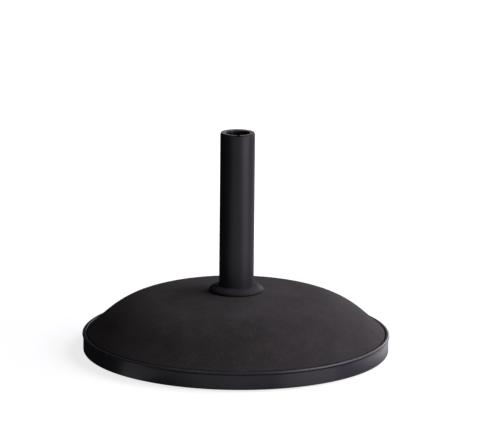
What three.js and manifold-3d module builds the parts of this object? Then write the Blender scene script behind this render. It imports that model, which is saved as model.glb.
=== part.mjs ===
// A round weighted base for a garden parasol.
// A cast concrete dome fills a spun steel tray that stands on rubber feet. A steel stem is bolted into
// the dome from beneath. A split sleeve in the stem's mouth, pinched by a hand screw at the back,
// grips the parasol's pole, and a guide cup at the bottom of the stem centres the pole's foot.
// Units are millimetres. +Z is up, Z = 0 is the floor, and the Z axis is the axis of the stem.
import * as THREE from "three";
import { mergeVertices } from "three/addons/utils/BufferGeometryUtils.js";
import Module from "manifold-3d";

const wasm = await Module();
wasm.setup();

// ---------------------------------------------------------------- driving dimensions
const GAP = 0.3; // clearance between pieces that are cast, cut or pressed against each other
const SHEET = 1.5; // wall of the tray and of the stem tube

// Tray: the rim stands FLOOR_GAP above the floor, the floor sheet steps up inside it.
const FLOOR_GAP = 2.5;
const TRAY_WALL_RADIUS = 238.6;
const TRAY_CORNER_RADIUS = 1.5;
const RIM_STEP_RADIUS = 226; // where the raised floor starts to step down to the rim
const RIM_STEP = 4; // height and width of that step
const TRAY_FLOOR = FLOOR_GAP + RIM_STEP; // underside of the raised floor
const DIMPLE_RADIUS = 40; // flat top of the pressed dimple that hides the bolt head
const DIMPLE_WIDTH = 8; // sloping wall of the dimple, measured outwards
const DIMPLE_TOP = 18; // underside of the dimple

// Rolled lip on top of the tray wall: a flat top between a round outer and a tighter inner edge.
const LIP_RADIUS = 240;
const LIP_TOP = 30;
const LIP_BEAD_RADIUS = 2.4;
const LIP_INNER_EDGE = 1.2; // rounding of the lip's inner edge
const HEM_RADIUS = 234; // inner face of the sheet folded down inside the wall
const HEM_FOOT = 22;
const NECK_BELOW_LIP = 4.9; // where the wall starts to swell into the rolled bead
const BEND = 0.8; // inside bends of the sheet, drawn as small chamfers

// Dome: a shallow cone, a round shoulder and a straight flank.
const DOME_APEX = 100.2;
const CROWN_SLOPE = THREE.MathUtils.degToRad(5.8);
const SHOULDER_RADIUS = 138;
const FLANK_SLOPE = THREE.MathUtils.degToRad(40.7);
const DOME_EDGE_RADIUS = 233;
const DOME_EDGE_HEIGHT = 30.3;
const SOCKET_FLOOR = 45; // the stem stands here, inside the dome

// Stem and collar.
const STEM_RADIUS = 27;
const STEM_TOP = 345.3;
const STEM_BORE = STEM_RADIUS - SHEET;
const SOCKET_RADIUS = STEM_RADIUS + 0.5;
const COLLAR_RADIUS = 42.4;
const COLLAR_TOP = 105.6;
const COLLAR_EDGE = 1.6; // straight part of the collar's rim
const COLLAR_WALL = 2;

// Central fixing: M12.
const BOLT_RADIUS = 6;
const BOLT_HOLE = 6.8;
const HEX_FLATS = 19;
const BOLT_HEAD = 7.5;
const BOLT_END = 62;
const SPRING_WASHER = { inner: 6.3, outer: 10.5, thickness: 2.5, split: 1.5 };
const PLATE_WASHER = { inner: 6.5, outer: 22, thickness: 3 };
const END_PLATE = 5;
const WELD_NUT = 10;

// Pole fittings: for a 38 mm pole.
const POLE_BORE = 19.3;
const SLEEVE_RADIUS = STEM_BORE - GAP;
const SLEEVE_WALL = 2.4;
const SLEEVE_LENGTH = 90;
const FLANGE_RADIUS = 26;
const FLANGE_THICKNESS = 2.2;
const RIB_COUNT = 8;
const RIB_THICKNESS = 2.2;
const SLIT_WIDTH = 4;
const CUP_HEIGHT = 36;
const CUP_SEAT = 66.5; // the pole's foot stands at this height
const CUP_FLOOR = 4;
const CUP_LEAD_IN = 3;

// Clamp: M10 hand screw at the back of the stem, along +Y.
const CLAMP_HEIGHT = 300;
const SCREW_RADIUS = 4.9;
const THREAD_BORE = 5.3;
const BOSS_RADIUS = 10;
const BOSS_END = 38;
const PAD_FACE = 25.4;
const PAD = { radius: 4.4, thickness: 2.4, pegRadius: 2, pegLength: 3.6 };
const SCREW_START = 28;
const SCREW_END = 60;
const KNOB = { hubStart: 46, hubRadius: 11, headStart: 54, headEnd: 70, radius: 20.6, lobe: 1.6, lobes: 6 };

// Feet.
const FOOT_COUNT = 6;
const FOOT_CIRCLE = 195;
const FOOT_RADIUS = 18;
const FOOT_SCREW = { radius: 2.4, hole: 2.9, headRadius: 5.2, head: 2.5, seat: 3.5, end: 19, pocket: 3.6 };

// Facets round a full turn.
const COARSE = 40;
const MEDIUM = 28;
const FINE = 16;

// ---------------------------------------------------------------- materials
const paint = (color, roughness, metalness) =>
  new THREE.MeshStandardMaterial({ color, roughness, metalness });
const BLACK_STEEL = [0x232228, 0.4, 0.3];
const CONCRETE = [0x2e2c2d, 0.85, 0];
const RUBBER = [0x161616, 0.9, 0];
const ZINC = [0xa7a9ab, 0.35, 0.9];
const BLACK_PLASTIC = [0x1b1b1d, 0.5, 0];
const NYLON = [0xd9d6cc, 0.6, 0];

// ---------------------------------------------------------------- solids
// A closed geometry as a manifold solid, with its shared vertices merged.
function solid(geometry) {
  const bare = geometry.clone();
  bare.deleteAttribute("normal");
  bare.deleteAttribute("uv");
  const merged = mergeVertices(bare, 1e-4);
  return new wasm.Manifold(
    new wasm.Mesh({
      numProp: 3,
      vertProperties: merged.attributes.position.array,
      triVerts: new Uint32Array(merged.index.array),
    }),
  );
}

function geometryOf(made) {
  const { vertProperties, triVerts } = made.getMesh();
  const geometry = new THREE.BufferGeometry();
  geometry.setAttribute("position", new THREE.BufferAttribute(new Float32Array(vertProperties), 3));
  geometry.setIndex(new THREE.BufferAttribute(new Uint32Array(triVerts), 1));
  geometry.computeVertexNormals();
  return geometry;
}

const cut = (body, ...tools) => tools.reduce((left, tool) => left.subtract(tool), body);
const join = (body, ...others) => others.reduce((whole, other) => whole.add(other), body);

// A closed [radius, height] loop, counter-clockwise, turned round the Z axis.
function turned(loop, facets) {
  const points = [...loop, loop[0]].map(([r, z]) => new THREE.Vector2(r, z));
  return solid(new THREE.LatheGeometry(points, facets).rotateX(Math.PI / 2));
}

// A ring or, with inner = 0, a cylinder standing on the Z axis.
function ring(inner, outer, low, high, facets) {
  if (inner > 0) return turned([[inner, low], [outer, low], [outer, high], [inner, high]], facets);
  const rod = new THREE.CylinderGeometry(outer, outer, high - low, facets);
  return solid(rod.rotateX(Math.PI / 2).translate(0, 0, (low + high) / 2));
}

// Turns a solid made round +Z so that it lies along +Y, at the height of the clamp.
const ontoClampAxis = (made) => made.rotate([-90, 0, 0]).translate([0, 0, CLAMP_HEIGHT]);

// Points on an ellipse quarter or a circular arc, ends included.
function arc(centre, radii, fromDegrees, toDegrees, steps) {
  return Array.from({ length: steps + 1 }, (_, i) => {
    const angle = THREE.MathUtils.degToRad(fromDegrees + ((toDegrees - fromDegrees) * i) / steps);
    return [centre[0] + radii[0] * Math.cos(angle), centre[1] + radii[1] * Math.sin(angle)];
  });
}

function hexagon(flats, low, high) {
  const corner = flats / 2 / Math.cos(Math.PI / 6);
  const prism = new THREE.CylinderGeometry(corner, corner, high - low, 6);
  return solid(prism.rotateX(Math.PI / 2).translate(0, 0, (low + high) / 2));
}

function footPlaces() {
  return Array.from({ length: FOOT_COUNT }, (_, i) => {
    const angle = (2 * Math.PI * i) / FOOT_COUNT;
    return [FOOT_CIRCLE * Math.cos(angle), FOOT_CIRCLE * Math.sin(angle)];
  });
}

// ---------------------------------------------------------------- tray
// The tray's floor sheet as [radius, height] from its bolt hole to its rim, lift above its underside.
function trayFloor(holeRadius, lift) {
  const dimpleShift = lift * Math.tan(Math.atan2(DIMPLE_TOP - TRAY_FLOOR, DIMPLE_WIDTH) / 2);
  const stepShift = lift * Math.tan(Math.PI / 8);
  return [
    [holeRadius, DIMPLE_TOP + lift],
    [DIMPLE_RADIUS + dimpleShift, DIMPLE_TOP + lift],
    [DIMPLE_RADIUS + DIMPLE_WIDTH + dimpleShift, TRAY_FLOOR + lift],
    [RIM_STEP_RADIUS + stepShift, TRAY_FLOOR + lift],
    [RIM_STEP_RADIUS + RIM_STEP + stepShift, FLOOR_GAP + lift],
  ];
}

function basePan() {
  const wallInside = TRAY_WALL_RADIUS - SHEET;
  const corner = TRAY_CORNER_RADIUS;
  const beadHeight = LIP_TOP - LIP_BEAD_RADIUS;
  const edge = LIP_INNER_EDGE;
  const loop = [
    ...trayFloor(BOLT_HOLE, 0),
    ...arc([TRAY_WALL_RADIUS - corner, FLOOR_GAP + corner], [corner, corner], -90, 0, 3),
    [TRAY_WALL_RADIUS, LIP_TOP - NECK_BELOW_LIP],
    ...arc([LIP_RADIUS - LIP_BEAD_RADIUS, beadHeight], [LIP_BEAD_RADIUS, LIP_BEAD_RADIUS], -60, 90, 5),
    ...arc([HEM_RADIUS + edge, LIP_TOP - edge], [edge, edge], 90, 180, 2),
    [HEM_RADIUS, HEM_FOOT],
    [wallInside, HEM_FOOT],
    [wallInside, FLOOR_GAP + SHEET + BEND],
    [wallInside - BEND, FLOOR_GAP + SHEET],
    ...trayFloor(BOLT_HOLE, SHEET).reverse(),
  ];
  const holes = footPlaces().map(([x, y]) =>
    ring(0, FOOT_SCREW.hole, 0, TRAY_FLOOR + 2 * SHEET, FINE).translate([x, y, 0]),
  );
  return cut(turned(loop, COARSE), ...holes);
}

// ---------------------------------------------------------------- concrete dome
// The dome's outline from its edge up to the given radius: flank, shoulder arc, crown.
function domeOutline(innerRadius) {
  const crown = Math.tan(CROWN_SLOPE);
  const flank = Math.tan(FLANK_SLOPE);
  const meet = (DOME_EDGE_HEIGHT + DOME_EDGE_RADIUS * flank - DOME_APEX) / (flank - crown);
  const reach = SHOULDER_RADIUS * Math.tan((FLANK_SLOPE - CROWN_SLOPE) / 2);
  const arcStart = meet - reach * Math.cos(CROWN_SLOPE);
  const centre = [
    arcStart - SHOULDER_RADIUS * Math.sin(CROWN_SLOPE),
    DOME_APEX - arcStart * crown - SHOULDER_RADIUS * Math.cos(CROWN_SLOPE),
  ];
  const toDegrees = THREE.MathUtils.radToDeg;
  const radii = [SHOULDER_RADIUS, SHOULDER_RADIUS];
  return [
    [DOME_EDGE_RADIUS, DOME_EDGE_HEIGHT],
    ...arc(centre, radii, 90 - toDegrees(FLANK_SLOPE), 90 - toDegrees(CROWN_SLOPE), 6),
    [innerRadius, DOME_APEX - innerRadius * crown],
  ];
}

function concreteWeight() {
  const lift = SHEET + GAP;
  const wall = TRAY_WALL_RADIUS - lift;
  const shoulder = HEM_FOOT - GAP;
  const loop = [
    ...trayFloor(BOLT_HOLE + GAP, lift),
    [wall - BEND, FLOOR_GAP + lift],
    [wall, FLOOR_GAP + lift + BEND],
    [wall, shoulder],
    [DOME_EDGE_RADIUS, shoulder],
    ...domeOutline(SOCKET_RADIUS),
    [SOCKET_RADIUS, SOCKET_FLOOR],
    [BOLT_HOLE + GAP, SOCKET_FLOOR],
  ];
  const pockets = footPlaces().map(([x, y]) =>
    ring(0, FOOT_SCREW.pocket, 0, FOOT_SCREW.end + 3, FINE).translate([x, y, 0]),
  );
  return cut(turned(loop, COARSE), ...pockets);
}

// ---------------------------------------------------------------- feet
function foot() {
  const { hole, seat, headRadius } = FOOT_SCREW;
  const counterbore = headRadius + 1.3;
  const loop = [
    [counterbore, 0], [FOOT_RADIUS - 1.5, 0], [FOOT_RADIUS, 1.5],
    [FOOT_RADIUS, TRAY_FLOOR], [hole, TRAY_FLOOR], [hole, seat], [counterbore, seat],
  ];
  return turned(loop, FINE);
}

function footScrew() {
  const { radius, headRadius, head, seat, end } = FOOT_SCREW;
  const top = seat - head;
  const points = [
    [0, top], [headRadius - 1.5, top], [headRadius, top + 1.3],
    [headRadius, seat], [radius, seat], [radius, end - 2], [0, end],
  ].map(([r, z]) => new THREE.Vector2(r, z));
  return solid(new THREE.LatheGeometry(points, 12).rotateX(Math.PI / 2));
}

// ---------------------------------------------------------------- central fixing
function tieBolt() {
  const headBottom = DIMPLE_TOP - PLATE_WASHER.thickness - SPRING_WASHER.thickness - BOLT_HEAD;
  const head = hexagon(HEX_FLATS, headBottom, headBottom + BOLT_HEAD);
  return join(head, ring(0, BOLT_RADIUS, headBottom + 1, BOLT_END, FINE));
}

function springWasher() {
  const { inner, outer, thickness, split } = SPRING_WASHER;
  const top = DIMPLE_TOP - PLATE_WASHER.thickness;
  const block = new THREE.BoxGeometry(split, outer, 2 * thickness);
  const slot = solid(block.translate(0, -outer, top - thickness / 2));
  return cut(ring(inner, outer, top - thickness, top, FINE), slot);
}

function plateWasher() {
  const { inner, outer, thickness } = PLATE_WASHER;
  return ring(inner, outer, DIMPLE_TOP - thickness, DIMPLE_TOP, MEDIUM);
}

function endPlate() {
  return ring(BOLT_RADIUS + 0.4, STEM_BORE - GAP, SOCKET_FLOOR, SOCKET_FLOOR + END_PLATE, COARSE);
}

function weldNut() {
  const low = SOCKET_FLOOR + END_PLATE;
  const bore = ring(0, BOLT_RADIUS + GAP, low - 1, low + WELD_NUT + 1, FINE);
  return cut(hexagon(HEX_FLATS, low, low + WELD_NUT), bore);
}

// ---------------------------------------------------------------- stem
function stemTube() {
  const screwHole = ontoClampAxis(ring(0, THREAD_BORE + GAP, STEM_RADIUS - 8, STEM_RADIUS + 5, FINE));
  return cut(ring(STEM_BORE, STEM_RADIUS, SOCKET_FLOOR, STEM_TOP, COARSE), screwHole);
}

// A hollow trim ring with a convex top and a short upright rim.
function collar() {
  const inner = STEM_RADIUS + GAP;
  const innerRim = COLLAR_RADIUS - COLLAR_WALL;
  const restHeight = (radius) => DOME_APEX - radius * Math.tan(CROWN_SLOPE) + GAP;
  const springing = restHeight(COLLAR_RADIUS) + COLLAR_EDGE;
  const outerRadii = [COLLAR_RADIUS - inner, COLLAR_TOP - springing];
  const innerRadii = outerRadii.map((radius) => radius - COLLAR_WALL);
  const loop = [
    [innerRim, restHeight(innerRim)],
    [COLLAR_RADIUS, restHeight(COLLAR_RADIUS)],
    ...arc([inner, springing], outerRadii, 0, 84, 6),
    [inner, COLLAR_TOP],
    [inner, COLLAR_TOP - COLLAR_WALL],
    ...arc([inner, springing], innerRadii, 80, 0, 4),
  ];
  return turned(loop, COARSE);
}

// ---------------------------------------------------------------- pole fittings
function poleSleeve() {
  const low = STEM_TOP - SLEEVE_LENGTH;
  const body = ring(SLEEVE_RADIUS - SLEEVE_WALL, SLEEVE_RADIUS, low, STEM_TOP, COARSE);
  const flange = ring(POLE_BORE, FLANGE_RADIUS, STEM_TOP, STEM_TOP + FLANGE_THICKNESS, COARSE);
  const ribDepth = SLEEVE_RADIUS - SLEEVE_WALL / 2 - POLE_BORE;
  const ribHeight = SLEEVE_LENGTH + FLANGE_THICKNESS / 2;
  const ribs = Array.from({ length: RIB_COUNT }, (_, i) =>
    solid(
      new THREE.BoxGeometry(ribDepth, RIB_THICKNESS, ribHeight)
        .translate(POLE_BORE + ribDepth / 2, 0, low + ribHeight / 2)
        .rotateZ(((i + 0.5) * 2 * Math.PI) / RIB_COUNT),
    ),
  );
  const neck = ring(POLE_BORE + 1.5, SLEEVE_RADIUS, STEM_TOP - 2, STEM_TOP + 1, COARSE);
  const slit = solid(
    new THREE.BoxGeometry(SLIT_WIDTH, 15, SLEEVE_LENGTH + 20).translate(0, -22, low + SLEEVE_LENGTH / 2),
  );
  return cut(join(body, flange, neck, ...ribs), slit);
}

function poleCup() {
  const low = SOCKET_FLOOR + END_PLATE + GAP;
  const high = low + CUP_HEIGHT;
  const ceiling = CUP_SEAT - CUP_FLOOR;
  const nutRoom = 12.5;
  const drain = 4;
  const loop = [
    [nutRoom, low], [SLEEVE_RADIUS, low], [SLEEVE_RADIUS, high], [POLE_BORE + CUP_LEAD_IN, high],
    [POLE_BORE, high - CUP_LEAD_IN], [POLE_BORE, CUP_SEAT], [drain, CUP_SEAT],
    [drain, ceiling], [nutRoom, ceiling],
  ];
  return turned(loop, COARSE);
}

// ---------------------------------------------------------------- clamp
function clampBoss() {
  const seat = STEM_RADIUS - 3;
  const loop = [
    [THREAD_BORE, seat], [BOSS_RADIUS, seat], [BOSS_RADIUS, BOSS_END - 1],
    [BOSS_RADIUS - 1, BOSS_END], [THREAD_BORE, BOSS_END],
  ];
  const tube = ring(0, STEM_RADIUS + GAP, CLAMP_HEIGHT - 30, CLAMP_HEIGHT + 30, COARSE);
  return cut(ontoClampAxis(turned(loop, MEDIUM)), tube);
}

function clampScrew() {
  const pegHole = ring(0, PAD.pegRadius + GAP, SCREW_START - 1, SCREW_START + PAD.pegLength, FINE);
  return ontoClampAxis(cut(ring(0, SCREW_RADIUS, SCREW_START, SCREW_END, FINE), pegHole));
}

function clampPad() {
  const face = ring(0, PAD.radius, PAD_FACE, PAD_FACE + PAD.thickness, FINE);
  const peg = ring(0, PAD.pegRadius, PAD_FACE + 1, PAD_FACE + PAD.thickness + PAD.pegLength, FINE);
  return ontoClampAxis(join(face, peg));
}

function clampKnob() {
  const { hubStart, hubRadius, headStart, headEnd, radius, lobe, lobes } = KNOB;
  const bevel = 1.5;
  const outline = Array.from({ length: 8 * lobes }, (_, i) => {
    const angle = (2 * Math.PI * i) / (8 * lobes);
    const reach = radius - bevel + lobe * Math.cos(lobes * angle);
    return new THREE.Vector2(reach * Math.cos(angle), reach * Math.sin(angle));
  });
  const head = new THREE.ExtrudeGeometry(new THREE.Shape(outline), {
    depth: headEnd - headStart - 2 * bevel,
    bevelThickness: bevel,
    bevelSize: bevel,
    bevelSegments: 1,
  }).translate(0, 0, headStart + bevel);
  const hub = ring(0, hubRadius, hubStart, headStart + 2, MEDIUM);
  const blindBore = ring(0, SCREW_RADIUS + GAP, hubStart - 1, SCREW_END + GAP, FINE);
  return ontoClampAxis(cut(join(solid(head), hub), blindBore));
}

// ---------------------------------------------------------------- the assembly
function mesh(name, made, look) {
  const part = new THREE.Mesh(geometryOf(made), paint(...look));
  part.name = name;
  return part;
}

function feet() {
  const group = new THREE.Group();
  footPlaces().forEach(([x, y], i) => {
    const rubber = mesh(`foot_${i + 1}`, foot(), RUBBER);
    const screw = mesh(`foot_screw_${i + 1}`, footScrew(), ZINC);
    rubber.position.set(x, y, 0);
    screw.position.set(x, y, 0);
    group.add(rubber, screw);
  });
  return group;
}

const parasolBase = new THREE.Group();
parasolBase.add(
  mesh("base_pan", basePan(), BLACK_STEEL),
  mesh("concrete_weight", concreteWeight(), CONCRETE),
  feet(),
  mesh("tie_bolt", tieBolt(), ZINC),
  mesh("spring_washer", springWasher(), ZINC),
  mesh("plate_washer", plateWasher(), ZINC),
  mesh("stem_end_plate", endPlate(), ZINC),
  mesh("weld_nut", weldNut(), ZINC),
  mesh("stem_tube", stemTube(), BLACK_STEEL),
  mesh("collar", collar(), BLACK_PLASTIC),
  mesh("pole_cup", poleCup(), BLACK_PLASTIC),
  mesh("pole_sleeve", poleSleeve(), BLACK_PLASTIC),
  mesh("clamp_boss", clampBoss(), BLACK_STEEL),
  mesh("clamp_pad", clampPad(), NYLON),
  mesh("clamp_screw", clampScrew(), ZINC),
  mesh("clamp_knob", clampKnob(), BLACK_PLASTIC),
);

export default parasolBase;
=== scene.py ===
"""A round weighted parasol base: concrete dome, steel tray, bolted stem and split pole sleeve."""

import math

import bmesh
import bpy
from mathutils import Matrix, Vector, noise


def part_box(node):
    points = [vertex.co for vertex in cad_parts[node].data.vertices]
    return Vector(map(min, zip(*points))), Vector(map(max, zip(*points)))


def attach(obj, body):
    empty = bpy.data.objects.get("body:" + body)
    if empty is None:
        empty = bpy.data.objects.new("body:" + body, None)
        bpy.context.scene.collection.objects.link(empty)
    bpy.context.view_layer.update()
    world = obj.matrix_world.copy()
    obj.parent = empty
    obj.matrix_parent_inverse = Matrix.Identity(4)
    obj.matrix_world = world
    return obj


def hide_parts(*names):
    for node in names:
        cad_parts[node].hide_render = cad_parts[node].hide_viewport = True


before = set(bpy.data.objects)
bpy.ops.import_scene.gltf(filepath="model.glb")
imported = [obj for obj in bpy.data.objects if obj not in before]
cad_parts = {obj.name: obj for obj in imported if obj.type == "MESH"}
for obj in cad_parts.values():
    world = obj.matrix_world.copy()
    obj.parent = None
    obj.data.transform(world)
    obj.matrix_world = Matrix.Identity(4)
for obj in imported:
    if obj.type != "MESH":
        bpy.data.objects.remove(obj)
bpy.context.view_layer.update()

MM = 0.001

# ---------------------------------------------------------------- sizes, in millimetres, from the frame


def span(node):
    """Lowest and highest corner of a CAD node in millimetres."""
    low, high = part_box(node)
    return low / MM, high / MM


SHEET = 1.5
PAN_LOW, PAN_HIGH = span("base_pan")
LIP_RADIUS = PAN_HIGH.x
LIP_TOP = PAN_HIGH.z
PAN_BOTTOM = PAN_LOW.z
LIP_OVERHANG = 1.4  # how far the lip stands out past the wall
WALL_RADIUS = LIP_RADIUS - LIP_OVERHANG
LIP_BEAD = 2.4
LIP_INNER_EDGE = 1.2  # rounding of the lip's inner edge
HEM_RADIUS = 234  # inner face of the sheet folded down inside the wall
HEM_FOOT = 22
RIM_STEP_RADIUS = 226
RIM_STEP = 4
DIMPLE_RADIUS = 40
DIMPLE_WIDTH = 8
DIMPLE_TOP = span("plate_washer")[1].z
BOLT_HOLE = 6.8

CROWN_SLOPE = math.radians(5.8)
FLANK_SLOPE = math.radians(40.7)
SHOULDER_RADIUS = 138
SOCKET_RADIUS = 27.5
SOCKET_FLOOR = span("stem_tube")[0].z
DOME_APEX = span("concrete_weight")[1].z + SOCKET_RADIUS * math.tan(CROWN_SLOPE)
DOME_EDGE_RADIUS = HEM_RADIUS - 1
DOME_EDGE_HEIGHT = LIP_TOP + 0.3

STEM_RADIUS = span("stem_tube")[1].x
STEM_TOP = span("stem_tube")[1].z
STEM_BORE = STEM_RADIUS - SHEET
COLLAR_RADIUS = span("collar")[1].x
COLLAR_TOP = span("collar")[1].z
COLLAR_WALL = 2

SLEEVE_LOW, SLEEVE_HIGH = span("pole_sleeve")
FLANGE_RADIUS = SLEEVE_HIGH.x
SLEEVE_RADIUS = STEM_BORE - 0.3
SLEEVE_WALL = 2.4
POLE_BORE = 19.3
RIB_COUNT = 8
RIB_THICKNESS = 2.2
SLIT_WIDTH = 4
LEAD_IN = 0.6  # fall of the flange's top face towards its hole

CLAMP_HEIGHT = (span("clamp_knob")[0].z + span("clamp_knob")[1].z) / 2
BOSS_RADIUS = span("clamp_boss")[1].x
BOSS_END = span("clamp_boss")[1].y
KNOB_START, KNOB_END = span("clamp_knob")[0].y, span("clamp_knob")[1].y
SCREW_START, SCREW_END = span("clamp_screw")[0].y, span("clamp_screw")[1].y
SCREW_RADIUS = span("clamp_screw")[1].x
PAD_START = span("clamp_pad")[0].y

CUP_SEAT = 66.5  # where the pole's foot rests
FOOT_COUNT = 6
FOOT_SCREW_SEAT = 3.5  # underside of the screw's head, on the foot
FOOT_SCREW_HEAD = 5.2
FOOT_SCREW_RADIUS = 2.4
RECESS_ARM = 1.1  # thickness of one arm of the driver recess
RECESS_TAPER = 0.55
HEX_FLATS = 19
HEX_HEAD = 7.5
BOLT_RADIUS = 6
COARSE_PITCH = 1.75
SCREW_PITCH = 1.5
KNOB_LOBES = 6
TURNS = 256  # facets round the wide pieces
SMALL_TURNS = 96


# ---------------------------------------------------------------- mesh helpers


def face_outwards(mesh):
    """Turns every face over if the closed mesh is inside out."""
    shape = bmesh.new()
    shape.from_mesh(mesh)
    if shape.calc_volume(signed=True) < 0:
        bmesh.ops.reverse_faces(shape, faces=shape.faces)
        shape.to_mesh(mesh)
    shape.free()


def finish_mesh(name, mesh, sharp_degrees=38):
    """A smooth-shaded object with the given mesh, whose creases stay sharp."""
    mesh.validate()
    face_outwards(mesh)
    mesh.shade_smooth()
    mesh.set_sharp_from_angle(angle=math.radians(sharp_degrees))
    obj = bpy.data.objects.new(name, mesh)
    bpy.context.scene.collection.objects.link(obj)
    return obj


def from_grid(name, rows, closed_rows, closed_columns, sharp_degrees=38, poles=(None, None)):
    """A mesh from rows of points in mm. poles are single points that close the first and last row."""
    mesh = bpy.data.meshes.new(name)
    count = len(rows[0])
    points = [Vector(p) * MM for row in rows for p in row]
    faces = []
    for i in range(len(rows) if closed_rows else len(rows) - 1):
        here, there = i * count, ((i + 1) % len(rows)) * count
        for j in range(count if closed_columns else count - 1):
            k = (j + 1) % count
            faces.append((here + j, here + k, there + k, there + j))
    for pole, start, flip in ((poles[0], 0, True), (poles[1], (len(rows) - 1) * count, False)):
        if pole is None:
            continue
        points.append(Vector(pole) * MM)
        for j in range(count):
            k = (j + 1) % count
            pair = (start + k, start + j) if flip else (start + j, start + k)
            faces.append((*pair, len(points) - 1))
    mesh.from_pydata(points, [], faces)
    return finish_mesh(name, mesh, sharp_degrees)


def arc(centre, radii, from_degrees, to_degrees, steps):
    """Points on an ellipse, ends included."""
    points = []
    for i in range(steps + 1):
        angle = math.radians(from_degrees + (to_degrees - from_degrees) * i / steps)
        points.append((centre[0] + radii[0] * math.cos(angle), centre[1] + radii[1] * math.sin(angle)))
    return points


def soften(corners, steps=4):
    """A closed outline from (radius, height, fillet) corners, with each fillet as an arc."""
    outline = []
    for i, (r, z, fillet) in enumerate(corners):
        here = Vector((r, z))
        if not fillet:
            outline.append((r, z))
            continue
        back = (Vector(corners[i - 1][:2]) - here).normalized()
        ahead = (Vector(corners[(i + 1) % len(corners)][:2]) - here).normalized()
        half = back.angle(ahead) / 2
        reach = fillet / math.tan(half)
        centre = here + (back + ahead).normalized() * (fillet / math.sin(half))
        start = here + back * reach - centre
        turn = math.pi - 2 * half
        side = 1 if back.x * ahead.y - back.y * ahead.x < 0 else -1
        for k in range(steps + 1):
            angle = side * turn * k / steps
            c, s = math.cos(angle), math.sin(angle)
            outline.append((centre.x + start.x * c - start.y * s, centre.y + start.x * s + start.y * c))
    return outline


def lathe(name, outline, turns=SMALL_TURNS, sharp_degrees=38):
    """A closed (radius, height) outline in mm, turned round the Z axis."""
    rows = []
    for i in range(turns):
        angle = 2 * math.pi * i / turns
        c, s = math.cos(angle), math.sin(angle)
        rows.append([(r * c, r * s, z) for r, z in outline])
    return from_grid(name, rows, True, True, sharp_degrees)


def move(obj, matrix):
    obj.data.transform(matrix)
    return obj


def onto_clamp_axis(obj):
    """Lays a piece made round +Z along +Y, at the height of the clamp."""
    lay = Matrix.Translation((0, 0, CLAMP_HEIGHT * MM)) @ Matrix.Rotation(-math.pi / 2, 4, "X")
    return move(obj, lay)


def bake_modifiers(obj, sharp_degrees=38):
    """Replaces the object's mesh by the result of its modifiers."""
    bpy.context.view_layer.update()
    graph = bpy.context.evaluated_depsgraph_get()
    mesh = bpy.data.meshes.new_from_object(obj.evaluated_get(graph))
    if not mesh.polygons:
        raise ValueError(f"{obj.name} has no faces left")
    obj.modifiers.clear()
    obj.data = mesh
    mesh.shade_smooth()
    mesh.set_sharp_from_angle(angle=math.radians(sharp_degrees))
    return obj


def carve(obj, tool, operation="DIFFERENCE"):
    """Cuts obj by tool, or keeps what they share, and removes the tool."""
    boolean = obj.modifiers.new("carve", "BOOLEAN")
    boolean.operation = operation
    boolean.solver = "EXACT"
    boolean.object = tool
    bake_modifiers(obj)
    bpy.data.objects.remove(tool)
    return obj


def bevel(obj, width, segments=3, angle=30):
    """Rounds every edge sharper than angle."""
    rounding = obj.modifiers.new("bevel", "BEVEL")
    rounding.width = width * MM
    rounding.segments = segments
    rounding.limit_method = "ANGLE"
    rounding.angle_limit = math.radians(angle)
    return bake_modifiers(obj)


def rod(name, radius, low, high, turns=SMALL_TURNS):
    """A plain closed cylinder on the Z axis, used as a cutting tool or a blank."""
    rows = []
    for z in (low, high):
        rows.append([(radius * math.cos(a), radius * math.sin(a), z) for a in angles(turns)])
    return from_grid(name, rows, False, True, poles=((0, 0, low), (0, 0, high)))


def angles(count):
    return [2 * math.pi * i / count for i in range(count)]


def place(obj, body, slot, material, *nodes):
    """Gives a piece its material and its body, and hides the CAD nodes it stands for. slot is not used."""
    obj.data.materials.clear()
    obj.data.materials.append(material)
    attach(obj, body)
    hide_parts(*nodes)
    return obj


# ---------------------------------------------------------------- material helpers


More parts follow.
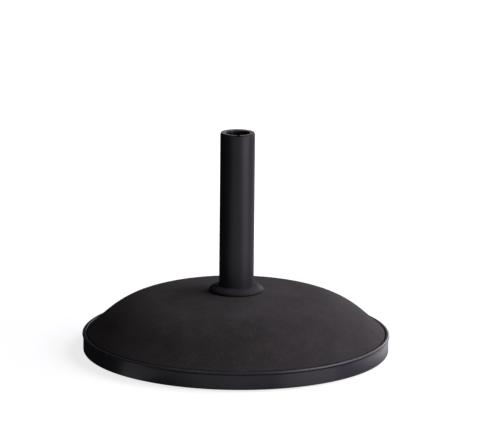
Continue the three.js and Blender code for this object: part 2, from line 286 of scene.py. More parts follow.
class Shader:
    """A Principled material with short calls for the nodes that its pattern needs."""

    def __init__(self, name, color, roughness, metallic=0.0, specular=0.5):
        self.material = bpy.data.materials.new(name)
        self.material.use_nodes = True
        self.nodes = self.material.node_tree.nodes
        self.links = self.material.node_tree.links
        self.surface = self.nodes["Principled BSDF"]
        self.surface.inputs["Base Color"].default_value = (*color, 1)
        self.surface.inputs["Roughness"].default_value = roughness
        self.surface.inputs["Metallic"].default_value = metallic
        self.surface.inputs["Specular IOR Level"].default_value = specular
        self.place = self.nodes.new("ShaderNodeTexCoord").outputs["Object"]

    def noise(self, scale, detail=3, roughness=0.5, stretch=None):
        """Noise over the object's own space, scale in repeats a metre."""
        made = self.nodes.new("ShaderNodeTexNoise")
        made.inputs["Scale"].default_value = scale
        made.inputs["Detail"].default_value = detail
        made.inputs["Roughness"].default_value = roughness
        self.links.new(self.stretched(stretch), made.inputs["Vector"])
        return made.outputs["Fac"]

    def cells(self, scale):
        """Distance to the nearest grain centre, scale in grains a metre."""
        made = self.nodes.new("ShaderNodeTexVoronoi")
        made.inputs["Scale"].default_value = scale
        self.links.new(self.place, made.inputs["Vector"])
        return made.outputs["Distance"]

    def stretched(self, stretch):
        if stretch is None:
            return self.place
        mapping = self.nodes.new("ShaderNodeMapping")
        mapping.inputs["Scale"].default_value = stretch
        self.links.new(self.place, mapping.inputs["Vector"])
        return mapping.outputs["Vector"]

    def ramp(self, value, *stops):
        """Colour or grey from a value: stops are (position, colour)."""
        made = self.nodes.new("ShaderNodeValToRGB")
        elements = made.color_ramp.elements
        while len(elements) < len(stops):
            elements.new(0.5)
        for element, (position, color) in zip(elements, stops):
            element.position = position
            element.color = (*color, 1) if hasattr(color, "__len__") else (color, color, color, 1)
        self.links.new(value, made.inputs["Fac"])
        return made.outputs["Color"]

    def blend(self, factor, first, second, mode="MIX"):
        made = self.nodes.new("ShaderNodeMix")
        made.data_type = "RGBA"
        made.blend_type = mode
        for socket, value in ((made.inputs[0], factor), (made.inputs[6], first), (made.inputs[7], second)):
            if isinstance(value, bpy.types.NodeSocket):
                self.links.new(value, socket)
            else:
                socket.default_value = value
        return made.outputs[2]

    def range(self, value, low, high, from_low=0.0, from_high=1.0):
        made = self.nodes.new("ShaderNodeMapRange")
        made.inputs["From Min"].default_value = from_low
        made.inputs["From Max"].default_value = from_high
        made.inputs["To Min"].default_value = low
        made.inputs["To Max"].default_value = high
        self.links.new(value, made.inputs["Value"])
        return made.outputs["Result"]

    def color(self, output):
        self.links.new(output, self.surface.inputs["Base Color"])

    def roughness(self, output):
        self.links.new(output, self.surface.inputs["Roughness"])

    def bump(self, height, depth, strength=1.0):
        """Adds relief, depth in mm, on top of the relief added before."""
        made = self.nodes.new("ShaderNodeBump")
        made.inputs["Strength"].default_value = strength
        made.inputs["Distance"].default_value = depth * MM
        self.links.new(height, made.inputs["Height"])
        normal = self.surface.inputs["Normal"]
        if normal.is_linked:
            self.links.new(normal.links[0].from_socket, made.inputs["Normal"])
        self.links.new(made.outputs["Normal"], normal)


# ---------------------------------------------------------------- materials


def powder_coat(name, color, roughness, specular):
    """Satin black powder coat: faint orange peel, dust-fine sparkle and uneven gloss."""
    paint = Shader(name, color, roughness, 0.0, specular)
    peel = paint.noise(520, 2)
    clouds = paint.noise(14, 4)
    lighter = tuple(channel * 1.35 for channel in color)
    paint.color(paint.ramp(clouds, (0.3, color), (0.75, lighter)))
    paint.roughness(paint.range(clouds, roughness - 0.05, roughness + 0.06))
    paint.bump(peel, 0.05, 0.35)
    paint.bump(paint.noise(2600, 2), 0.012, 0.3)
    return paint.material


def cast_concrete():
    """Dyed black concrete: warm dark paste, sandy grain, paler specks and small pits."""
    dark, paste, pale = (0.0152, 0.0137, 0.0140), (0.0217, 0.0195, 0.0200), (0.0299, 0.0271, 0.0274)
    stone = Shader("cast_concrete", paste, 0.8, 0.0, 0.13)
    sand = stone.noise(420, 3, 0.65)
    mottle = stone.noise(28, 5, 0.6)
    specks = stone.cells(330)
    body = stone.ramp(sand, (0.32, dark), (0.5, paste), (0.70, pale))
    clouds = stone.ramp(mottle, (0.3, (0.62, 0.62, 0.62)), (0.7, (1.3, 1.28, 1.28)))
    clouded = stone.blend(0.55, body, clouds, "MULTIPLY")
    speckled = stone.blend(stone.ramp(specks, (0.06, 0.55), (0.2, 0.0)), clouded, (*pale, 1))
    stone.color(speckled)
    stone.roughness(stone.range(sand, 0.7, 0.92))
    stone.bump(mottle, 0.5, 0.3)
    stone.bump(sand, 0.5, 0.6)
    stone.bump(stone.ramp(specks, (0.0, 0.0), (0.25, 1.0)), 0.2, 0.35)
    return stone.material


def moulded_plastic(name, color, roughness, grain=900, specular=0.4):
    """Moulded plastic with a spark-eroded texture and slightly uneven gloss."""
    plastic = Shader(name, color, roughness, 0.0, specular)
    clouds = plastic.noise(30, 3)
    paler = tuple(channel * 1.25 for channel in color)
    plastic.color(plastic.ramp(clouds, (0.3, color), (0.75, paler)))
    plastic.roughness(plastic.range(clouds, roughness - 0.06, roughness + 0.06))
    plastic.bump(plastic.noise(grain, 3), 0.03, 0.4)
    return plastic.material


def sleeve_plastic():
    """Black plastic with a painted sheen: the upward face of its flange is painted a mottled grey in place
    of its reflection of the light behind.
    """
    plastic = Shader("sleeve_plastic", SLEEVE_BLACK, 0.45, 0.0, 0.4)
    height = plastic.nodes.new("ShaderNodeSeparateXYZ")
    plastic.links.new(plastic.place, height.inputs[0])
    on_flange = plastic.range(height.outputs["Z"], 0.0, 1.0, STEM_TOP * MM, (STEM_TOP + 0.8) * MM)
    facing = plastic.nodes.new("ShaderNodeSeparateXYZ")
    plastic.links.new(plastic.nodes.new("ShaderNodeTexCoord").outputs["Normal"], facing.inputs[0])
    upward = plastic.range(facing.outputs["Z"], 0.0, 1.0, 0.6, 0.95)
    # painted sheen: the flange's upward faces get a mottled grey that stands in for the reflection of the
    # light behind
    painted_sheen_mask = plastic.blend(1.0, on_flange, upward, "MULTIPLY")
    painted_sheen_tone = plastic.ramp(plastic.noise(260, 4, 0.6), (0.3, PAINTED_SHEEN_GREY), (0.75, PAINTED_SHEEN_PALE))
    plastic.color(plastic.blend(painted_sheen_mask, (*SLEEVE_BLACK, 1), painted_sheen_tone))
    plastic.roughness(plastic.range(plastic.noise(30, 3), 0.38, 0.5))
    plastic.bump(plastic.noise(900, 3), 0.03, 0.4)
    return plastic.material


def rubber():
    """Dark rubber with a dusty bloom."""
    foot = Shader("foot_rubber", (0.014, 0.014, 0.015), 0.85, 0.0, 0.3)
    bloom = foot.noise(60, 5, 0.6)
    foot.color(foot.ramp(bloom, (0.35, (0.012, 0.012, 0.013)), (0.75, (0.035, 0.034, 0.033))))
    foot.bump(foot.noise(700, 3), 0.06, 0.4)
    return foot.material


def zinc():
    """Zinc-plated steel: spangle, fine drawing lines and a faint straw tint."""
    plate = Shader("zinc_plate", (0.56, 0.57, 0.58), 0.34, 1.0)
    spangle = plate.noise(160, 4, 0.6)
    grey, pale, straw = (0.42, 0.43, 0.45), (0.58, 0.58, 0.57), (0.66, 0.63, 0.55)
    plate.color(plate.ramp(spangle, (0.3, grey), (0.55, pale), (0.8, straw)))
    plate.roughness(plate.range(spangle, 0.24, 0.46))
    plate.bump(plate.noise(900, 2, 0.5, (1, 1, 0.08)), 0.02, 0.4)
    return plate.material


SLEEVE_BLACK = (0.0160, 0.0155, 0.0175)
# painted sheen: the greys painted on the flange's upward face in place of its reflection of the light behind
PAINTED_SHEEN_GREY = (0.075, 0.073, 0.080)
PAINTED_SHEEN_PALE = (0.112, 0.109, 0.118)

CONCRETE = cast_concrete()
TRAY_PAINT = powder_coat("tray_powder_coat", (0.0135, 0.0130, 0.0165), 0.34, 0.42)
STEM_PAINT = powder_coat("stem_powder_coat", (0.0110, 0.0105, 0.0135), 0.40, 0.38)
COLLAR_PLASTIC = moulded_plastic("collar_plastic", (0.0130, 0.0122, 0.0145), 0.60, 700, 0.12)
SLEEVE_PLASTIC = sleeve_plastic()
BLACK_PLASTIC = moulded_plastic("black_plastic", (0.0135, 0.0135, 0.0150), 0.5, 1100)
NYLON = moulded_plastic("natural_nylon", (0.62, 0.60, 0.54), 0.45)
RUBBER = rubber()
ZINC = zinc()


# ---------------------------------------------------------------- tray and dome


def tray_floor(lift):
    """The tray's floor sheet from bolt hole to rim, lift above its underside, with a fillet per corner."""
    dimple_shift = lift * math.tan(math.atan2(DIMPLE_TOP - PAN_BOTTOM - RIM_STEP, DIMPLE_WIDTH) / 2)
    step_shift = lift * math.tan(math.pi / 8)
    floor = PAN_BOTTOM + RIM_STEP
    fillets = (2.5, 4) if lift else (4, 2.5)
    return [
        (BOLT_HOLE, DIMPLE_TOP + lift, 0),
        (DIMPLE_RADIUS + dimple_shift, DIMPLE_TOP + lift, fillets[0]),
        (DIMPLE_RADIUS + DIMPLE_WIDTH + dimple_shift, floor + lift, fillets[1]),
        (RIM_STEP_RADIUS + step_shift, floor + lift, 1.5),
        (RIM_STEP_RADIUS + RIM_STEP + step_shift, PAN_BOTTOM + lift, 1.5),
    ]


def tray():
    """Spun steel tray with a rolled lip, in one closed skin of sheet thickness."""
    inside = WALL_RADIUS - SHEET
    bead_height = LIP_TOP - LIP_BEAD
    bead_centre = (LIP_RADIUS - LIP_BEAD, bead_height)
    bead = [(r, z, 0) for r, z in arc(bead_centre, (LIP_BEAD, LIP_BEAD), -62, 90, 14)]
    corners = [
        *tray_floor(0),
        (WALL_RADIUS, PAN_BOTTOM, 1.5),
        (WALL_RADIUS, LIP_TOP - 2.05 * LIP_BEAD, 0.4),
        *bead,
        (HEM_RADIUS, LIP_TOP, LIP_INNER_EDGE),
        (HEM_RADIUS, HEM_FOOT, 0.5),
        (inside, HEM_FOOT, 0.3),
        (inside, PAN_BOTTOM + SHEET, 0.8),
        *reversed(tray_floor(SHEET)),
    ]
    return lathe("tray", soften(corners), TURNS)


def dome_outline(step):
    """Flank, shoulder arc and crown, from the dome's edge up to its socket, about one point a step."""
    crown, flank = math.tan(CROWN_SLOPE), math.tan(FLANK_SLOPE)
    meet = (DOME_EDGE_HEIGHT + DOME_EDGE_RADIUS * flank - DOME_APEX) / (flank - crown)
    reach = SHOULDER_RADIUS * math.tan((FLANK_SLOPE - CROWN_SLOPE) / 2)
    arc_start = meet - reach * math.cos(CROWN_SLOPE)
    centre = (
        arc_start - SHOULDER_RADIUS * math.sin(CROWN_SLOPE),
        DOME_APEX - arc_start * crown - SHOULDER_RADIUS * math.cos(CROWN_SLOPE),
    )
    bend = SHOULDER_RADIUS * (FLANK_SLOPE - CROWN_SLOPE)
    shoulder = arc(
        centre,
        (SHOULDER_RADIUS, SHOULDER_RADIUS),
        90 - math.degrees(FLANK_SLOPE),
        90 - math.degrees(CROWN_SLOPE),
        round(bend / step),
    )
    edge_centre = (DOME_EDGE_RADIUS - 1.2, DOME_EDGE_HEIGHT - 0.6)
    edge = arc(edge_centre, (1.2, 1.2), 0, 90 - math.degrees(FLANK_SLOPE), 4)
    top = (SOCKET_RADIUS, DOME_APEX - SOCKET_RADIUS * crown)
    lower, upper = between(edge[-1], shoulder[0], step), between(shoulder[-1], top, step)
    return [*edge, *lower, *shoulder, *upper, top]


def between(start, end, step):
    """Points inside a straight stretch, about one a step."""
    pieces = max(1, round(math.dist(start, end) / step))
    return [
        (start[0] + (end[0] - start[0]) * i / pieces, start[1] + (end[1] - start[1]) * i / pieces)
        for i in range(1, pieces)
    ]


def concrete_dome():
    """The cast dome. Its open face has the faint waviness and sandy relief of a casting."""
    step = 2.0
    lift = SHEET + 0.3
    wall = WALL_RADIUS - lift
    shoulder = HEM_FOOT - 0.3
    on_tray = [(r + 0.2, z, fillet) for r, z, fillet in tray_floor(lift)]
    # soften closes this outline, so the last fillet turns towards the bolt hole, under the tray's floor
    under = soften([*on_tray, (wall, PAN_BOTTOM + lift, 0.8)])
    top = dome_outline(step)
    outline = [
        *under,
        (wall, shoulder),
        (DOME_EDGE_RADIUS, shoulder),
        *top,
        (SOCKET_RADIUS, SOCKET_FLOOR),
        (BOLT_HOLE + 0.3, SOCKET_FLOOR),
    ]
    turns = 480
    dome = lathe("dome", outline, turns)
    first = len(under) + 2
    normals = [vertex.normal.copy() for vertex in dome.data.vertices]
    for column in range(turns):
        for row in range(first, first + len(top)):
            index = column * len(outline) + row
            vertex = dome.data.vertices[index]
            vertex.co -= casting_relief(vertex.co) * normals[index]
    return dome


def casting_relief(point):
    """How far the cast face lies below its ideal outline, in metres."""
    wave = noise.noise(point * 9) * 0.25
    grain = noise.noise(point * 210) * 0.07 + noise.noise(point * 420) * 0.05
    return (wave + grain) * MM


# ---------------------------------------------------------------- stem and collar


def stem():
    tube = lathe("stem", soften([
        (STEM_BORE, SOCKET_FLOOR, 0.2),
        (STEM_RADIUS, SOCKET_FLOOR, 0.4),
        (STEM_RADIUS, STEM_TOP, 0.5),
        (STEM_BORE, STEM_TOP, 0.4),
    ]), 128)
    hole = onto_clamp_axis(rod("screw_hole", SCREW_RADIUS + 0.7, STEM_RADIUS - 8, STEM_RADIUS + 5, 48))
    return carve(tube, hole)


def collar():
    """Hollow trim ring with a convex top over a short upright rim, resting on the crown."""
    inner = STEM_RADIUS + 0.3
    inner_rim = COLLAR_RADIUS - COLLAR_WALL
    foot = COLLAR_RADIUS - 1.2
    rest = [DOME_APEX - r * math.tan(CROWN_SLOPE) + 0.3 for r in (inner_rim, foot)]
    rim_top = rest[1] + 1.6
    outer_radii = (COLLAR_RADIUS - inner, COLLAR_TOP - rim_top)
    inner_radii = [radius - COLLAR_WALL for radius in outer_radii]
    top = [(r, z, 0) for r, z in arc((inner, rim_top), outer_radii, 0, 86, 20)]
    under = [(r, z, 0) for r, z in arc((inner, rim_top), inner_radii, 84, 0, 16)]
    return lathe("collar_ring", soften([
        (inner_rim, rest[0], 0.2),
        (foot, rest[1], 0.2),
        (COLLAR_RADIUS, rest[1] + 1.1, 0.3),
        *top,
        (inner, COLLAR_TOP, 0),
        (inner, COLLAR_TOP - COLLAR_WALL, 0),
        *under,
    ]), 160)


# ---------------------------------------------------------------- pole fittings


def sleeve_angles():
    """Angles of the sleeve's sections, from one side of the slit to the other, and if each crosses a rib."""
    front = -math.pi / 2
    slit = math.asin(SLIT_WIDTH / 2 / FLANGE_RADIUS)
    half_rib = math.asin(RIB_THICKNESS / 2 / POLE_BORE)
    places = [(front + slit, False), (front + 2 * math.pi - slit, False)]
    for i in range(RIB_COUNT):
        middle = front + (i + 0.5) * 2 * math.pi / RIB_COUNT
        places += [(middle - half_rib - 0.002, False), (middle - half_rib, True), (middle, True)]
        places += [(middle + half_rib, True), (middle + half_rib + 0.002, False)]
        places += [(middle + offset * math.pi / RIB_COUNT / 5, False) for offset in (-4, -3, -2, 2, 3, 4)]
    places += [(front + 2 * math.pi * i / RIB_COUNT, False) for i in range(1, RIB_COUNT)]
    return sorted(places)


def sleeve():
    """Split flanged sleeve with ribs inside: one loft round the axis, open at the slit."""
    low, top = SLEEVE_LOW.z, SLEEVE_HIGH.z
    neck = STEM_TOP - 2
    under = STEM_TOP + 0.6
    rows = []
    sections = sleeve_angles()
    for index, (angle, rib) in enumerate(sections):
        wall = POLE_BORE if rib else SLEEVE_RADIUS - SLEEVE_WALL
        loop = [
            (wall, low), (SLEEVE_RADIUS, low), (SLEEVE_RADIUS, under), (FLANGE_RADIUS, under),
            (FLANGE_RADIUS, top), (POLE_BORE, top - LEAD_IN), (POLE_BORE, neck), (wall, neck),
        ]
        at_slit = index in (0, len(sections) - 1)
        side = 1 if index == 0 else -1
        row = []
        for r, z in loop:
            turn = -math.pi / 2 + side * math.asin(SLIT_WIDTH / 2 / r) if at_slit else angle
            row.append((r * math.cos(turn), r * math.sin(turn), z))
        rows.append(row)
    mesh = from_grid("sleeve_ring", rows, False, True)
    count = len(rows[0])
    shape = bmesh.new()
    shape.from_mesh(mesh.data)
    shape.verts.ensure_lookup_table()
    shape.faces.new([shape.verts[i] for i in reversed(range(count))])
    shape.faces.new([shape.verts[(len(rows) - 1) * count + i] for i in range(count)])
    bmesh.ops.remove_doubles(shape, verts=shape.verts, dist=1e-6)
    bmesh.ops.recalc_face_normals(shape, faces=shape.faces)
    shape.to_mesh(mesh.data)
    shape.free()
    face_outwards(mesh.data)
    return bevel(mesh, 0.4, 3, 40)


def cup():
    low, high = span("pole_cup")
    seat = CUP_SEAT
    return lathe("pole_guide_cup", soften([
        (12.5, low.z, 0.3), (high.x, low.z, 0.6), (high.x, high.z, 0.6), (POLE_BORE + 3, high.z, 0.4),
        (POLE_BORE, high.z - 3, 0.8), (POLE_BORE, seat, 0.8), (4, seat, 0.4),
        (4, seat - 4, 0.3), (12.5, seat - 4, 0.5),
    ]))


# ---------------------------------------------------------------- clamp


def clamp_boss():
    bore = SCREW_RADIUS + 0.4
    boss = lathe("boss", soften([
        (bore, STEM_RADIUS - 3, 0), (BOSS_RADIUS, STEM_RADIUS - 3, 0),
        (BOSS_RADIUS, BOSS_END, 1.0), (bore, BOSS_END, 0.7),
    ]), 72)
    tube_room = rod("tube_room", STEM_RADIUS + 0.1, CLAMP_HEIGHT - 30, CLAMP_HEIGHT + 30, 256)
    return carve(onto_clamp_axis(boss), tube_room)


def weld_bead():
    """The rippled fillet weld round the foot of the boss, on the stem's curved wall."""
    path = BOSS_RADIUS + 0.6
    rows = []
    for i, angle in enumerate(angles(180)):
        side, up = path * math.cos(angle), path * math.sin(angle)
        centre = Vector((side, math.sqrt((STEM_RADIUS + 0.5) ** 2 - side * side), up + CLAMP_HEIGHT))
        outward = Vector((math.cos(angle), 0, math.sin(angle)))
        ripple = 1.5 + 0.22 * math.cos(angle * 30) + 0.12 * noise.noise(Vector((side, up, 3)) * 0.4)
        rows.append([
            centre + outward * (ripple * math.cos(a)) + Vector((0, ripple * math.sin(a), 0))
            for a in angles(14)
        ])
    return from_grid("boss_weld", rows, True, True, 80)


def threaded_rod(name, radius, low, high, pitch, depth, turns=64, steps_per_pitch=10):
    """A screw made as one skin whose radius follows a rounded thread round +Z."""
    step = pitch / steps_per_pitch
    count = round((high - low) / step)
    rows = []
    for i in range(count + 1):
        height = low + (high - low) * i / count
        chamfer = min(height - low, high - height, 1.2)
        ring = []
        for angle in angles(turns):
            phase = (height / pitch - angle / (2 * math.pi)) % 1
            tooth = min(1, max(0, 2.2 * abs(phase - 0.5) * 2 - 0.6))
            reach = min(radius - depth * (1 - tooth), radius - 1.2 + chamfer)
            ring.append((reach * math.cos(angle), reach * math.sin(angle), height))
        rows.append(ring)
    return from_grid(name, rows, False, True, 60, ((0, 0, low), (0, 0, high)))


def pad():
    tip = lathe("pressure_pad", soften([
        (0.05, PAD_START, 0), (4.4, PAD_START, 0.6), (4.4, PAD_START + 2.4, 0.4),
        (2, PAD_START + 2.4, 0), (2, PAD_START + 6, 0.4), (0.05, PAD_START + 6, 0),
    ]), 48)
    return onto_clamp_axis(tip)


def knob_radius(angle, lobe):
    return 1 + lobe * math.cos(KNOB_LOBES * angle)


def knob():
    """Six-lobed knob with a hub, soft edges and a shallow dished face round a raised button."""
    bore = SCREW_RADIUS + 0.3
    head_start = KNOB_START + 8
    face = KNOB_END
    profile = soften([
        (bore, KNOB_START, 0.3), (10.2, KNOB_START, 1.2), (11, head_start, 1.5),
        (20.6, head_start, 2.2), (20.6, face, 3.2), (13.0, face, 1.0),
        (11.6, face - 1.6, 0.8), (8.2, face - 1.6, 0.6), (7.6, face - 0.5, 0.8),
    ], 6)
    lobe_from, lobe_to = 11.0, 17.5
    rows = []
    for r, z in profile:
        share = min(1, max(0, (r - lobe_from) / (lobe_to - lobe_from)))
        lobe = 0.078 * share * share * (3 - 2 * share) if z > KNOB_START + 4 else 0
        rows.append([
            (r * knob_radius(a, lobe) * math.cos(a), r * knob_radius(a, lobe) * math.sin(a), z)
            for a in angles(180)
        ])
    blind_end = SCREW_END + 0.3
    blind = [[(bore * math.cos(a), bore * math.sin(a), blind_end) for a in angles(180)]]
    made = from_grid("knob", blind + rows, False, True, 38, ((0, 0, blind_end), (0, 0, face - 0.5)))
    return onto_clamp_axis(made)


# ---------------------------------------------------------------- feet and fixings


def foot(number):
    low, high = span(f"foot_{number}")
    centre = (low + high) / 2
    radius = (high.x - low.x) / 2
    top = high.z
    rubber_foot = lathe(f"rubber_foot_{number}", soften([
        (6.5, 0, 0.5), (9.5, 0, 0.3), (9.9, 0.7, 0.2), (10.9, 0.7, 0.2), (11.3, 0, 0.3),
        (13.3, 0, 0.3), (13.7, 0.7, 0.2), (14.6, 0.7, 0.2), (15.0, 0, 0.3),
        (radius - 1.5, 0, 0.5), (radius, 1.5, 0.8), (radius, top, 0.4),
        (2.9, top, 0), (2.9, FOOT_SCREW_SEAT, 0), (6.5, FOOT_SCREW_SEAT, 0.3),
    ], 3), 72)
    return move(rubber_foot, Matrix.Translation((centre.x * MM, centre.y * MM, 0)))


def recess_bar(width, depth, turn):
    """One bar of the tapered cross that cuts a driver recess upwards into a screw head."""
    shape = bmesh.new()
    for vertex in bmesh.ops.create_cube(shape, size=1)["verts"]:
        taper = 1.0 if vertex.co.z < 0 else RECESS_TAPER
        x, y, z = vertex.co
        vertex.co = Vector((x * width * taper, y * RECESS_ARM * taper, z * 2 * depth))
        vertex.co.rotate(Matrix.Rotation(turn, 3, "Z"))
        vertex.co *= MM
    mesh = bpy.data.meshes.new("recess_bar")
    shape.to_mesh(mesh)
    shape.free()
    return finish_mesh("recess_bar", mesh)


def foot_screw(number):
    low, high = span(f"foot_screw_{number}")
    centre = (low + high) / 2
    head = lathe(f"pan_screw_{number}", soften([
        (0.05, low.z, 0), (3.6, low.z, 1.6), (FOOT_SCREW_HEAD, low.z + 1.2, 0.8),
        (FOOT_SCREW_HEAD, FOOT_SCREW_SEAT, 0.15), (FOOT_SCREW_RADIUS, FOOT_SCREW_SEAT, 0),
        (FOOT_SCREW_RADIUS, high.z - 3, 0), (0.05, high.z, 0),
    ], 4), 48)
    for turn in (0, math.pi / 2):
        carve(head, move(recess_bar(5.0, 1.5, turn), Matrix.Translation((0, 0, low.z * MM))))
    return move(head, Matrix.Translation((centre.x * MM, centre.y * MM, 0)))


def hex_blank(name, flats, low, high):
    corner = flats / 2 / math.cos(math.pi / 6)
    rows = [[(corner * math.cos(a), corner * math.sin(a), z) for a in angles(6)] for z in (low, high)]
    return from_grid(name, rows, False, True, poles=((0, 0, low), (0, 0, high)))


def tie_bolt():
    """Hex bolt with a chamfered head and a rolled thread."""
    low, high = span("tie_bolt")
    head_top = low.z + HEX_HEAD
    head = hex_blank("hex_head", HEX_FLATS, low.z, head_top)
    chamfer = lathe("chamfer", [
        (0.01, low.z - 0.001), (9.3, low.z - 0.001), (11.4, low.z + 1.3),
        (11.4, head_top + 1), (0.01, head_top + 1),
    ])
    carve(head, chamfer, "INTERSECT")
    bevel(head, 0.15, 2, 25)
    shank = threaded_rod("tie_bolt_shank", BOLT_RADIUS, head_top, high.z, COARSE_PITCH, 1.0, 48, 8)
    return head, shank


def spring_washer():
    """A split ring of rectangular section whose ends stand slightly apart."""
    low, high = span("spring_washer")
    inner, outer, rise = 6.3, high.x, 0.25
    thickness = high.z - low.z - rise
    turns = 72
    gap = math.radians(8)
    rows = []
    for i in range(turns + 1):
        share = i / turns
        angle = -math.pi / 2 + gap / 2 + (2 * math.pi - gap) * share
        base = low.z + rise * share
        loop = [(inner, base), (outer, base), (outer, base + thickness), (inner, base + thickness)]
        rows.append([(r * math.cos(angle), r * math.sin(angle), z) for r, z in loop])
    mesh = from_grid("lock_washer", rows, False, True)
    shape = bmesh.new()
    shape.from_mesh(mesh.data)
    shape.verts.ensure_lookup_table()
    shape.faces.new([shape.verts[i] for i in (3, 2, 1, 0)])
    shape.faces.new([shape.verts[turns * 4 + i] for i in range(4)])
    bmesh.ops.recalc_face_normals(shape, faces=shape.faces)
    shape.to_mesh(mesh.data)
    shape.free()
    return bevel(mesh, 0.2, 2, 40)


def plate_washer():
    low, high = span("plate_washer")
    return lathe("penny_washer", soften([
        (6.5, low.z, 0.2), (high.x, low.z, 0.4), (high.x, high.z, 0.4), (6.5, high.z, 0.2),
    ], 3))


# ---------------------------------------------------------------- camera, lights, floor

CAMERA_LENS = 235.8
CAMERA_DISTANCE = 4.980
CAMERA_ELEVATION = math.radians(15.21)
CAMERA_AZIMUTH = math.radians(-3)
CAMERA_ROLL = math.radians(0.55)
CAMERA_CENTRE = Vector((0, 0, 0.0042))
CAMERA_AIM = Vector((0.0086, 0, 0.2120))
COOL_WHITE = (0.97, 0.92, 1.0)
LIGHT_AIM = Vector((0, 0, 0.12))
LIGHT_REACH = 3.0


def camera():
    """Looks along +Y at the base from slightly above, from about five metres."""
    data = bpy.data.cameras.new("camera")
    data.sensor_width = 36
    data.lens = CAMERA_LENS
    data.clip_end = 50
    eye = bpy.data.objects.new("camera", data)
    bpy.context.scene.collection.objects.link(eye)
    outward = Vector((0, -math.cos(CAMERA_ELEVATION), math.sin(CAMERA_ELEVATION)))
    eye.location = CAMERA_CENTRE + CAMERA_DISTANCE * outward
    look = (CAMERA_AIM - eye.location).to_track_quat("-Z", "Y").to_matrix().to_4x4()
    around = Matrix.Rotation(CAMERA_AZIMUTH, 4, "Z")
    roll = Matrix.Rotation(CAMERA_ROLL, 4, "Z")
    eye.matrix_world = around @ Matrix.Translation(eye.location) @ look @ roll
    bpy.context.scene.camera = eye


def area_light(name, azimuth, elevation, size, power, distance=LIGHT_REACH):
    """A rectangular softbox that faces the base. Azimuth 0 is in front, 90 on the right."""
    data = bpy.data.lights.new(name, "AREA")
    data.shape = "RECTANGLE"
    data.size, data.size_y = size
    data.energy = power
    data.color = COOL_WHITE
    lamp = bpy.data.objects.new(name, data)
    bpy.context.scene.collection.objects.link(lamp)
    a, e = math.radians(azimuth), math.radians(elevation)
    lamp.location = distance * Vector((math.sin(a) * math.cos(e), -math.cos(a) * math.cos(e), math.sin(e)))
    lamp.location += LIGHT_AIM
    lamp.rotation_mode = "QUATERNION"
    lamp.rotation_quaternion = (lamp.location - LIGHT_AIM).to_track_quat("Z", "Y")
    return lamp


def table_bounce(name, azimuth, reach, size, power):
    """Light thrown up by the pale table close to the base, from just under the floor's surface."""
    lamp = area_light(name, azimuth, 0, size, power, reach)
    lamp.location.z = -0.01
    lamp.rotation_quaternion = Vector((0, 0, -1)).to_track_quat("Z", "Y")
    return lamp


def studio():
    """A large softbox on the right, weaker ones round the base, and the pale table's bounce from below.

    key_matt adds to key_right without showing in any reflection.
    """
    area_light("key_right", 86, 41, (3.0, 2.4), 100)
    area_light("key_matt", 86, 41, (3.0, 2.4), 92).visible_glossy = False
    area_light("rim_back_right", 150, 15, (1.6, 1.6), 26)
    area_light("fill_front_right", 50, 16, (2.2, 1.4), 32)
    area_light("fill_front", -20, 20, (2.2, 1.4), 5)
    area_light("bounce_front_right", 54, -15, (2.6, 1.4), 15)
    area_light("bounce_right", 112, -15, (1.6, 1.4), 3)
    area_light("bounce_back_right", 146, -13, (1.6, 1.2), 3.5)
    area_light("bounce_front", -12, -15, (3.4, 1.4), 10)
    area_light("overhead_left", -70, 70, (0.8, 0.8), 8)
    table_bounce("table_front_left", -48, 0.40, (0.24, 0.24), 0.075)
    table_bounce("table_right", 82, 0.34, (0.14, 0.26), 0.10)


def backdrop_light():
    """What is left of the light from all other directions."""
    world = bpy.data.worlds.new("studio")
    bpy.context.scene.world = world
    world.use_nodes = True
    world.node_tree.nodes["Background"].inputs["Color"].default_value = (0.95, 0.92, 1.0, 1)
    world.node_tree.nodes["Background"].inputs["Strength"].default_value = 0.012


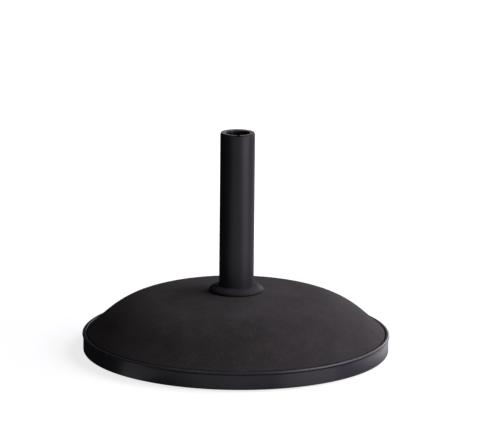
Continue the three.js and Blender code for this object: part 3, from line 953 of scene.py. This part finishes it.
def floor():
    """A pale table that glows to white away from the base, so that only a faint shadow is left."""
    rows = [[(r * math.cos(a), r * math.sin(a), 0) for a in angles(96)] for r in (400, 9000)]
    ground = from_grid("floor", rows, False, True, poles=((0, 0, 0), None))
    paper = Shader("floor_paper", (0.25, 0.25, 0.25), 0.9, 0.0, 0.1)
    grain = paper.noise(40, 3)
    paper.color(paper.ramp(grain, (0.3, (0.24, 0.24, 0.24)), (0.7, (0.26, 0.26, 0.26))))
    distance = paper.nodes.new("ShaderNodeVectorMath")
    distance.operation = "LENGTH"
    paper.links.new(paper.place, distance.inputs[0])
    glow = paper.range(distance.outputs["Value"], 0.78, 1.04, 0.45, 0.95)
    paper.surface.inputs["Emission Color"].default_value = (1, 1, 1, 1)
    paper.links.new(glow, paper.surface.inputs["Emission Strength"])
    ground.data.materials.append(paper.material)
    ground.visible_glossy = False
    ground.visible_diffuse = False
    ground.visible_shadow = False


# ---------------------------------------------------------------- the object

camera()
studio()
backdrop_light()
floor()

place(tray(), "base", "pan_paint", TRAY_PAINT, "base_pan")
place(concrete_dome(), "base", "concrete", CONCRETE, "concrete_weight")
place(stem(), "base", "stem_paint", STEM_PAINT, "stem_tube")
place(collar(), "base", "collar_plastic", COLLAR_PLASTIC, "collar")
place(cup(), "base", "black_plastic", BLACK_PLASTIC, "pole_cup")
place(sleeve(), "sleeve", "sleeve_plastic", SLEEVE_PLASTIC, "pole_sleeve")

place(clamp_boss(), "base", "stem_paint", STEM_PAINT, "clamp_boss")
place(weld_bead(), "base", "stem_paint", STEM_PAINT)
place(pad(), "pad", "pad_nylon", NYLON, "clamp_pad")
screw = onto_clamp_axis(threaded_rod("hand_screw", SCREW_RADIUS, SCREW_START, SCREW_END, SCREW_PITCH, 0.85))
place(screw, "knob", "zinc_steel", ZINC, "clamp_screw")
place(knob(), "knob", "black_plastic", BLACK_PLASTIC, "clamp_knob")

for number in range(1, FOOT_COUNT + 1):
    place(foot(number), "base", "foot_rubber", RUBBER, f"foot_{number}")
    place(foot_screw(number), "base", "zinc_steel", ZINC, f"foot_screw_{number}")
bolt_head, bolt_shank = tie_bolt()
place(bolt_head, "base", "zinc_steel", ZINC, "tie_bolt")
place(bolt_shank, "base", "zinc_steel", ZINC)
place(spring_washer(), "base", "zinc_steel", ZINC, "spring_washer")
place(plate_washer(), "base", "zinc_steel", ZINC, "plate_washer")

for hidden in ("stem_end_plate", "weld_nut"):
    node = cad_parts[hidden]
    node.data.materials.clear()
    node.data.materials.append(ZINC)

bpy.context.scene.view_settings.view_transform = "Standard"
